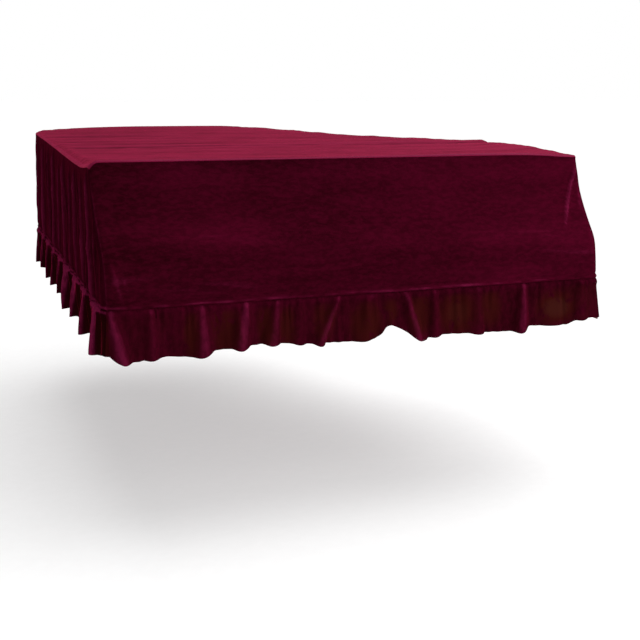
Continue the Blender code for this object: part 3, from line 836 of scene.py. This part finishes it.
def top_grid(pitch):
    """Points of the top as a grid between its four edges, and rings for its rounded edge."""
    across = int(2 * HALF_WIDTH / pitch) + 1
    side = {name: panel_line(name, EDGE_DROP, np.array((0.0, 1.0)))[3] for name in PANELS}
    deep_cheek = int(side["cheek"] / pitch)
    deep_bent = int(side["bentside"] / pitch)
    counts = {"front": across, "cheek": deep_cheek + 1, "bentside": deep_bent + 1,
              "tail": across, "spine": deep_cheek + deep_bent + 1}
    lines = []
    ways = []
    for name in PANELS:
        points, outward, _, _ = panel_line(name, EDGE_DROP, np.linspace(0.0, 1.0, counts[name]))
        lines.append(points[:-1])
        ways.append(outward[:-1])
    edge = np.concatenate(lines)
    way = np.concatenate(ways)
    inner = edge - way * RIM_INSET
    deep = deep_cheek + deep_bent + 1
    width = across
    front = inner[:width]
    right = inner[width - 1:width - 1 + deep]
    tail = inner[width + deep - 2:2 * width + deep - 2][::-1]
    left = np.concatenate((inner[2 * width + deep - 3:], inner[:1]))[::-1]
    u = np.linspace(0.0, 1.0, width)[None, :, None]
    v = np.linspace(0.0, 1.0, deep)[:, None, None]
    patch = (1 - v) * front[None] + v * tail[None] + (1 - u) * left[:, None] + u * right[:, None]
    patch -= (1 - u) * (1 - v) * front[0] + u * (1 - v) * front[-1]
    patch -= (1 - u) * v * tail[0] + u * v * tail[-1]
    heights, crests = top_height(patch[..., 0], patch[..., 1])
    ring_height = rim_height(edge[:, 0], edge[:, 1])
    points = np.concatenate((patch, heights[..., None]), axis=2).reshape(-1, 3)
    index = np.arange(deep * width).reshape(deep, width)
    loop = np.concatenate((index[0, :-1], index[:-1, -1], index[-1, :0:-1], index[:0:-1, 0]))
    border = points[loop, 2] - ring_height
    crests = crests.ravel()
    faces = grid_faces(deep, width, flip=True)
    last = loop
    for step in range(1, RIM_STEPS + 1):
        angle = 0.5 * math.pi * step / RIM_STEPS
        inset = RIM_INSET * (1.0 - math.sin(angle))
        down = (EDGE_DROP - SEAM_GAP) * (1.0 - math.cos(angle))
        plan = edge - way * inset
        kept = 1.0 - step / RIM_STEPS
        ring = np.column_stack((plan, ring_height - down + border * kept))
        now = len(points) + np.arange(len(ring))
        points = np.concatenate((points, ring))
        # The rounded edge counts as raised, for a painted highlight line along it
        crests = np.concatenate((crests, np.full(len(ring), RIM_CREST * math.sin(2 * angle) + FLAT)))
        faces.extend(zip(now, np.roll(now, -1), np.roll(last, -1), last))
        last = now
    return points, faces, crests


def grid_faces(rows, columns, flip=False):
    """Four-sided faces between the points of a grid."""
    faces = []
    for row in range(rows - 1):
        start = row * columns
        for a in range(start, start + columns - 1):
            quad = (a, a + columns, a + columns + 1, a + 1)
            faces.append(quad[::-1] if flip else quad)
    return faces


def add_object(name, data):
    piece = bpy.data.objects.new(name, data)
    bpy.context.scene.collection.objects.link(piece)
    return piece


def make_cloth(name, node, slot, points, faces, face_finish, thickness, **marks):
    """A closed sheet in the place of a solid: its pile side out, its woven back inside."""
    mesh = bpy.data.meshes.new(name)
    points = np.asarray(points, float).reshape(-1, 3) + (0.0, FRONT_Y, 0.0)
    mesh.from_pydata(points.tolist(), [], [tuple(int(i) for i in face) for face in faces])
    mesh.update()
    mesh.materials.append(finish(face_finish))
    mesh.materials.append(finish("cover_back"))
    for mark, values in marks.items():
        attribute = mesh.attributes.new(mark, "FLOAT", "POINT")
        attribute.data.foreach_set("value", np.asarray(values, np.float32).ravel())
    piece = add_object(name, mesh)
    thicken = piece.modifiers.new("cloth", "SOLIDIFY")
    thicken.thickness = thickness
    thicken.offset = -1.0
    thicken.use_even_offset = True
    thicken.material_offset = 1
    settled = piece.evaluated_get(bpy.context.evaluated_depsgraph_get())
    piece.data = bpy.data.meshes.new_from_object(settled)
    piece.modifiers.clear()
    piece.data.shade_smooth()
    piece.data.set_sharp_from_angle(angle=math.radians(EDGE_ANGLE))
    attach(piece, "root")
    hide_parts(node)
    return piece


# Shader maths

class Wire:
    """A socket that can be used in Python expressions, each of which adds its Math node."""

    def __init__(self, tree, socket):
        self.tree = tree
        self.socket = socket

    def maths(self, operation, first, second):
        return add_node(self.tree, "ShaderNodeMath", {"operation": operation}, {0: first, 1: second})

    def __add__(self, other):
        return self.maths("ADD", self, other)

    def __mul__(self, other):
        return self.maths("MULTIPLY", self, other)

    def __sub__(self, other):
        return self.maths("SUBTRACT", self, other)

    def __rsub__(self, other):
        return self.maths("SUBTRACT", other, self)

    __radd__ = __add__
    __rmul__ = __mul__

    def between(self, low, high):
        """0 below the low value, 1 above the high one, eased in between."""
        return add_node(self.tree, "ShaderNodeMapRange",
                        {"interpolation_type": "SMOOTHSTEP", "clamp": True},
                        {"Value": self, "From Min": low, "From Max": high})


def plug(tree, value, socket):
    """Links a wire to a socket, or sets a plain value on it."""
    if isinstance(value, Wire):
        tree.links.new(value.socket, socket)
    else:
        socket.default_value = value


def add_node(tree, kind, settings=None, values=None, output=0):
    """A node's output, once its settings and then its sockets are set."""
    node = tree.nodes.new(kind)
    for key, value in (settings or {}).items():
        setattr(node, key, value)
    for key, value in (values or {}).items():
        plug(tree, value, node.inputs[key])
    return Wire(tree, node.outputs[output])


class Paint:
    """A material's node tree."""

    def __init__(self, name):
        self.material = bpy.data.materials.new(name)
        self.material.use_nodes = True
        self.tree = self.material.node_tree
        self.shader = self.tree.nodes["Principled BSDF"]

    def node(self, kind, settings=None, values=None, output=0):
        return add_node(self.tree, kind, settings, values, output)

    def place(self, stretch=(1.0, 1.0, 1.0)):
        """Object coordinates, stretched."""
        where = self.node("ShaderNodeTexCoord", output="Object")
        return self.node("ShaderNodeVectorMath", {"operation": "MULTIPLY"}, {0: where, 1: stretch})

    def noise(self, scale, stretch=(1.0, 1.0, 1.0), detail=2.0, roughness=0.5, distortion=0.0):
        return self.node("ShaderNodeTexNoise", None, {
            "Vector": self.place(stretch), "Scale": scale, "Detail": detail,
            "Roughness": roughness, "Distortion": distortion})

    def mark(self, name):
        """A value that the points of a sheet carry."""
        return self.node("ShaderNodeAttribute", {"attribute_name": name}, output="Fac")

    def mix(self, share, low, high):
        """A colour between two others."""
        first, second = 6, 7
        return self.node("ShaderNodeMix", {"data_type": "RGBA"}, {0: share, first: low, second: high},
                         output=2)

    def bump(self, height, strength, distance):
        return self.node("ShaderNodeBump", None, {
            "Height": height, "Strength": strength, "Distance": distance})

    def set(self, **values):
        """Sets the shader's sockets, whose names are written with _ for a space."""
        for name, value in values.items():
            plug(self.tree, value, self.shader.inputs[name.replace("_", " ")])


def rgb(colour):
    return (*colour, 1.0)


# The nap of each part of the cover: how its strokes and its mottle are stretched, its gain of painted
# light (lighter on the top, darker on the spine side and its frill), how much its mottle (grain,
# ridges), a painted light that changes across the keyboard (lean), the painted highlights and shade
# of its folds, its painted crest highlights and its brown crush and painted shade show, and how it
# glows
EVEN_NAP = dict(crushed=0.0, grain=0.30, ridges=1.0, lean=0.0, opened=0.6, spread=0.24, specular=0.0)
UPRIGHT = dict(EVEN_NAP, strokes=(1.6, 1.6, 0.25), mottle=(1.0, 1.0, 0.6))
GATHERED = dict(EVEN_NAP, strokes=(1.4, 1.4, 0.4), mottle=(1.0, 1.0, 0.6), spread=0.20)
VELVETS = {
    "cover_top": dict(EVEN_NAP, strokes=(0.22, 1.7, 1.0), mottle=(0.12, 1.2, 1.0), shade=2.64,
                      grain=0.44, ridges=3.0, lean=0.16, folds=0.66, sheen=0.33, spread=0.34,
                      specular=0.05),
    "cover_front": dict(EVEN_NAP, strokes=(0.35, 1.0, 1.6), mottle=(0.6, 1.0, 1.3), shade=0.91,
                        grain=0.31, lean=0.17, folds=0.20, opened=0.65, sheen=0.41),
    "cover_side": dict(UPRIGHT, shade=0.85, folds=0.35, sheen=0.15),
    "cover_spine": dict(UPRIGHT, shade=0.55, folds=0.45, opened=0.5, sheen=0.06),
    "cover_frill": dict(GATHERED, shade=0.82, crushed=0.9, lean=-0.05, folds=0.25, sheen=0.45),
    "cover_spine_frill": dict(GATHERED, shade=0.36, crushed=1.0, folds=0.45, opened=1.6, sheen=0.35),
}
SIDE_FINISH = {"front": "cover_front", "spine": "cover_spine"}

# How much clouds, strokes and tufts brush the pile, and how rough it is
CLOUD_SHARE = 0.16
STROKE_SHARE = 0.25
TUFT_SHARE = 0.22
PILE_ROUGHNESS = 0.98
BRUSHED_SMOOTHER = 0.20
# How raised the cloth is where a crest starts to take the painted highlight and where it fully has, in
# strokes and then all over, and how strong the brown crush and painted shade is where it starts to
# turn to the lighter brown and where it fully has
CREST_HIGHLIGHT_STARTS = (0.50, 1.15)
CREST_HIGHLIGHT_FULL = (1.05, 1.35)
CRUSH_FADES = (0.95, 1.40)


# A colour times a look's gain of painted light
def with_painted_light(colour, shade):
    return rgb([channel * shade for channel in colour])


def velvet(name, colours, look):
    """Cut pile: deep face on, glowing at a slant, brushed in strokes, with painted highlights and
    painted shade.
    """
    paint = Paint(name)
    cloud = paint.noise(2.4).between(0.30, 0.72)
    strokes = paint.noise(9.0, look.strokes, detail=3.0, roughness=0.60, distortion=0.4)
    strokes = strokes.between(0.34, 0.72)
    mottle = paint.noise(80.0, look.mottle, detail=3.0, roughness=0.65, distortion=0.3)
    mottle = mottle.between(0.34, 0.68)
    tufts = paint.noise(330.0, roughness=0.6)
    pile = paint.noise(1500.0, detail=1.0, roughness=0.6)
    raised = paint.mark("raised")
    brushed_and_lit = cloud * CLOUD_SHARE + strokes * STROKE_SHARE + mottle * look.grain + tufts * TUFT_SHARE
    # Raised crests lighten the pile and creases darken it: painted highlight and painted shade
    brushed_and_lit = brushed_and_lit + raised * look.folds
    # Painted light that changes across the keyboard, along X
    if look.lean:
        where = paint.node("ShaderNodeTexCoord", output="Object")
        brushed_and_lit = brushed_and_lit + paint.node("ShaderNodeSeparateXYZ", None, {"Vector": where}) * look.lean
    # Both pile colours take the look's gain of painted light: lighter on the top, darker on the spine
    # side and its frill
    deep = with_painted_light(colours.pile_deep, look.shade)
    colour = paint.mix(brushed_and_lit, deep, with_painted_light(colours.pile_brushed_and_lit, look.shade))
    # Brown crush, which on the frills is mostly painted shade in the valleys between their flutes
    if look.crushed:
        blotch = paint.noise(26.0, (1.0, 1.0, 0.8), detail=4.0, roughness=0.65, distortion=0.6)
        blotch = blotch.between(0.30, 0.50)
        crushed = paint.mark("crushed")
        brown = paint.mix(crushed.between(*CRUSH_FADES), with_painted_light(colours.pile_crush_and_shade, look.shade),
                          with_painted_light(colours.pile_faded, look.shade))
        colour = paint.mix(blotch * crushed * look.crushed, colour, brown)
    # Painted highlights on the most raised places: crests, the rounded rim and the seam lines
    opened = raised.between(*CREST_HIGHLIGHT_STARTS) * (0.15 + 0.50 * strokes + 0.35 * mottle)
    opened = opened + raised.between(*CREST_HIGHLIGHT_FULL) * 0.5
    colour = paint.mix(opened * look.opened, colour, rgb(colours.pile_painted_highlight))
    relief = pile * 0.5 + tufts * 0.5 + mottle * look.ridges
    paint.set(
        Base_Color=colour,
        Roughness=PILE_ROUGHNESS - brushed_and_lit * BRUSHED_SMOOTHER,
        Sheen_Weight=look.sheen * colours.sheen,
        Sheen_Roughness=look.spread,
        Sheen_Tint=rgb(colours.sheen_tint),
        Specular_IOR_Level=look.specular,
        Normal=paint.bump(relief, strength=0.30, distance=0.0006),
    )
    return paint.material


def woven_back(colours):
    """The plain knitted back of the cloth, which shows only from below."""
    paint = Paint("cover_back")
    ribs = paint.node("ShaderNodeTexWave", {"wave_type": "BANDS", "bands_direction": "Z"},
                      {"Vector": paint.place(), "Scale": 180.0, "Distortion": 1.5, "Detail": 1.0})
    cross = paint.noise(320.0, (1.0, 1.0, 0.4), roughness=0.6)
    weave = ribs * 0.5 + cross * 0.5
    cloud = paint.noise(3.0)
    colour = paint.mix(weave * 0.6 + cloud * 0.4, rgb(colours.back_dark), rgb(colours.back_light))
    paint.set(Base_Color=colour, Roughness=0.9 - weave * 0.1, Specular_IOR_Level=0.15,
              Normal=paint.bump(weave, strength=0.3, distance=0.0005))
    return paint.material


def plain_floor(colours):
    paint = Paint("stage_floor")
    grain = paint.noise(30.0)
    paint.set(Base_Color=paint.mix(grain, rgb(colours.floor), rgb(colours.floor_light)),
              Roughness=0.85 + grain * 0.1, Specular_IOR_Level=0.2,
              Emission_Color=(1.0, 1.0, 1.0, 1.0), Emission_Strength=colours.floor_glow)
    return paint.material


# Settings that a user would change

def measure(name, description, default, least):
    return bpy.props.FloatProperty(name=name, description=description, default=default, min=least,
                                   unit="LENGTH", subtype="DISTANCE")


def tint(name, description, default):
    return bpy.props.FloatVectorProperty(name=name, description=description, default=default,
                                         min=0.0, max=1.0, subtype="COLOR")


class CoverSizes(bpy.types.PropertyGroup):
    cloth: measure("Cloth", "Thickness of the velvet", CLOTH, 0.0005)
    panel_pitch: measure("Panel step", "Distance between points of the side panels", 0.0065, 0.003)
    top_pitch: measure("Top step", "Distance between points of the top", 0.0095, 0.003)
    frill_pitch: measure("Frill step", "Distance between points of the frill", 0.004, 0.002)


class CoverColours(bpy.types.PropertyGroup):
    pile_deep: tint("Pile, deep", "Colour of the pile where it stands up", (0.015, 0.0006, 0.0024))
    # The lighter end of the pile, towards which brushing, painted crest highlights and the painted light
    # across the keyboard pull
    pile_brushed_and_lit: tint("Pile, brushed", "Colour of the pile where it is brushed flat",
                       (0.074, 0.0018, 0.0130))
    # Colour of the painted highlights on crests, the rounded rim and the seam lines
    pile_painted_highlight: tint("Pile, opened", "Colour of the pile where a crest opens it",
                      (0.150, 0.0080, 0.0400))
    # Brown of crushed pile, used mostly as painted shade in the valleys of the frills
    pile_crush_and_shade: tint("Pile, crushed", "Brownish colour of crushed pile on the frill",
                       (0.041, 0.0043, 0.0037))
    pile_faded: tint("Pile, faded", "Lighter brown in the middle of the most crushed patch",
                     (0.054, 0.0110, 0.0082))
    sheen_tint: tint("Sheen", "Colour of the glow of the pile at a slant", (0.95, 0.026, 0.130))
    sheen: bpy.props.FloatProperty(
        name="Sheen weight", description="Strength of the glow of the pile", default=1.0,
        min=0.0, max=1.0, subtype="FACTOR")
    back_dark: tint("Back, dark", "Dark yarn of the woven back", (0.090, 0.008, 0.020))
    back_light: tint("Back, light", "Light yarn of the woven back", (0.190, 0.025, 0.050))
    floor: tint("Floor", "Colour of the floor", (0.44, 0.44, 0.44))
    floor_light: tint("Floor, light", "Lighter colour of the floor", (0.48, 0.48, 0.48))
    floor_glow: bpy.props.FloatProperty(
        name="Floor glow", description="Light of its own that keeps the floor pale", default=0.515,
        min=0.0, max=2.0)


class CoverLight(bpy.types.PropertyGroup):
    key: bpy.props.FloatProperty(
        name="Overhead light", description="Strength of the broad light above", default=3.1,
        min=0.0)
    fill: bpy.props.FloatProperty(
        name="Front light", description="Power of the soft light in front", default=66.0,
        min=0.0, unit="POWER")
    rake: bpy.props.FloatProperty(
        name="Raking light", description="Power of the small light that rakes along the spine side",
        default=15.0, min=0.0, unit="POWER")
    sky: bpy.props.FloatProperty(
        name="Surroundings", description="Strength of the light from all round", default=0.14,
        min=0.0, max=5.0)


# Operators

class COVER_OT_top(bpy.types.Operator):
    """Build the creased top of the cover"""
    bl_idname = "cover.top"
    bl_label = "Top"

    def execute(self, context):
        sizes = context.scene.cover_sizes
        points, faces, crests = top_grid(sizes.top_pitch)
        piece = make_cloth("top_velvet", "top_panel", "top_velvet", points, faces, "cover_top",
                           sizes.cloth, raised=crests)
        return {"FINISHED"}


class COVER_OT_sides(bpy.types.Operator):
    """Build the five side panels"""
    bl_idname = "cover.sides"
    bl_label = "Side panels"

    def execute(self, context):
        sizes = context.scene.cover_sizes
        for panel in PANELS:
            rows, crests, _, _, length = skirt_grid(panel, sizes.panel_pitch)
            faces = grid_faces(len(rows), len(rows[0]))
            kind = SIDE_FINISH.get(panel, "cover_side")
            piece = make_cloth(panel + "_velvet", panel + "_panel", "side_velvet", rows, faces, kind,
                               sizes.cloth, raised=crests)
            deep = SEAM_DROP + 2 * SEAM_ALLOWANCE
            if panel == "front":
                deep += FRONT_SLOPE
            length + 2 * SEAM_ALLOWANCE
        return {"FINISHED"}


class COVER_OT_frills(bpy.types.Operator):
    """Build the five gathered frills"""
    bl_idname = "cover.frills"
    bl_label = "Frills"

    def execute(self, context):
        sizes = context.scene.cover_sizes
        for panel in PANELS:
            rows, crests, crushed, length = frill_grid(panel, sizes.frill_pitch)
            faces = grid_faces(len(rows), len(rows[0]))
            kind = "cover_spine_frill" if panel == "spine" else "cover_frill"
            piece = make_cloth(panel + "_gathers", panel + "_frill", "frill_velvet", rows, faces, kind,
                               sizes.cloth, raised=crests, crushed=crushed)
            GATHER * length
        return {"FINISHED"}


class COVER_OT_stage(bpy.types.Operator):
    """Build the floor, the lights and the camera"""
    bl_idname = "cover.stage"
    bl_label = "Stage"

    def execute(self, context):
        add_floor(context)
        add_lights(context)
        add_camera(context)
        return {"FINISHED"}


def finish(name):
    """The material of that name, made when it is first asked for."""
    if name in bpy.data.materials:
        return bpy.data.materials[name]
    colours = bpy.context.scene.cover_colours
    if name in VELVETS:
        return velvet(name, colours, Row(**VELVETS[name]))
    return woven_back(colours)


def add_floor(context):
    mesh = bpy.data.meshes.new("stage_floor")
    signs = ((-1, -1), (1, -1), (1, 1), (-1, 1))
    corners = [(x * FLOOR_REACH, y * FLOOR_REACH, -LID_HEIGHT) for x, y in signs]
    mesh.from_pydata(corners, [], [(0, 1, 2, 3)])
    mesh.materials.append(plain_floor(context.scene.cover_colours))
    add_object("stage_floor", mesh)


def add_area_light(context, row):
    light = bpy.data.lights.new(row.name, "AREA")
    light.shape = "RECTANGLE"
    light.size, light.size_y = row.size
    light.energy = getattr(context.scene.cover_light, row.power)
    lamp = add_object(row.name, light)
    lamp.location = row.place
    away = Vector(row.aim) - Vector(row.place)
    lamp.rotation_euler = away.to_track_quat("-Z", "Y").to_euler()


def add_lights(context):
    power = context.scene.cover_light
    sun = bpy.data.lights.new("overhead", "SUN")
    sun.energy = power.key
    sun.angle = math.radians(SUN_SOFTNESS)
    lamp = add_object("overhead", sun)
    lamp.rotation_euler = Vector(SUN_FROM).to_track_quat("Z", "Y").to_euler()
    for row in AREA_LIGHTS:
        add_area_light(context, row)
    world = bpy.data.worlds.new("studio")
    context.scene.world = world
    world.use_nodes = True
    tree = world.node_tree
    seen = add_node(tree, "ShaderNodeLightPath", output="Is Camera Ray")
    strength = seen * (1.0 - power.sky) + power.sky
    tree.links.new(strength.socket, tree.nodes["Background"].inputs["Strength"])
    tree.nodes["Background"].inputs["Color"].default_value = (1.0, 1.0, 1.0, 1.0)
    context.scene.view_settings.view_transform = "Standard"


def add_camera(context):
    pitch, yaw, roll = (math.radians(angle) for angle in (CAMERA_DOWN, CAMERA_RIGHT, CAMERA_ROLL))
    data = bpy.data.cameras.new("camera")
    data.sensor_width = CAMERA_SENSOR
    data.lens = CAMERA_LENS
    camera = add_object("camera", data)
    turn = Matrix.Rotation(-yaw, 4, "Z") @ Matrix.Rotation(math.pi / 2 - pitch, 4, "X")
    place = Matrix.Translation(CAMERA_PLACE)
    camera.matrix_world = place @ turn @ Matrix.Rotation(roll, 4, "Z")
    context.scene.camera = camera


class VIEW3D_PT_cover(bpy.types.Panel):
    """Sizes, colours and pieces of the cover"""
    bl_label = "Piano cover"
    bl_idname = "VIEW3D_PT_cover"
    bl_space_type = "VIEW_3D"
    bl_region_type = "UI"
    bl_category = "Piano cover"

    def draw(self, context):
        for settings in (context.scene.cover_sizes, context.scene.cover_colours,
                         context.scene.cover_light):
            for name in settings.__annotations__:
                self.layout.prop(settings, name)
        for operator in OPERATORS:
            self.layout.operator(operator.bl_idname)


OPERATORS = (COVER_OT_top, COVER_OT_sides, COVER_OT_frills, COVER_OT_stage)
CLASSES = (CoverSizes, CoverColours, CoverLight, *OPERATORS, VIEW3D_PT_cover)


def register():
    for item in CLASSES:
        bpy.utils.register_class(item)
    bpy.types.Scene.cover_sizes = bpy.props.PointerProperty(type=CoverSizes)
    bpy.types.Scene.cover_colours = bpy.props.PointerProperty(type=CoverColours)
    bpy.types.Scene.cover_light = bpy.props.PointerProperty(type=CoverLight)


def unregister():
    del bpy.types.Scene.cover_light
    del bpy.types.Scene.cover_colours
    del bpy.types.Scene.cover_sizes
    for item in reversed(CLASSES):
        bpy.utils.unregister_class(item)


def main():
    register()
    bpy.ops.cover.stage()
    bpy.ops.cover.top()
    bpy.ops.cover.sides()
    bpy.ops.cover.frills()


if __name__ == "__main__":
    main()
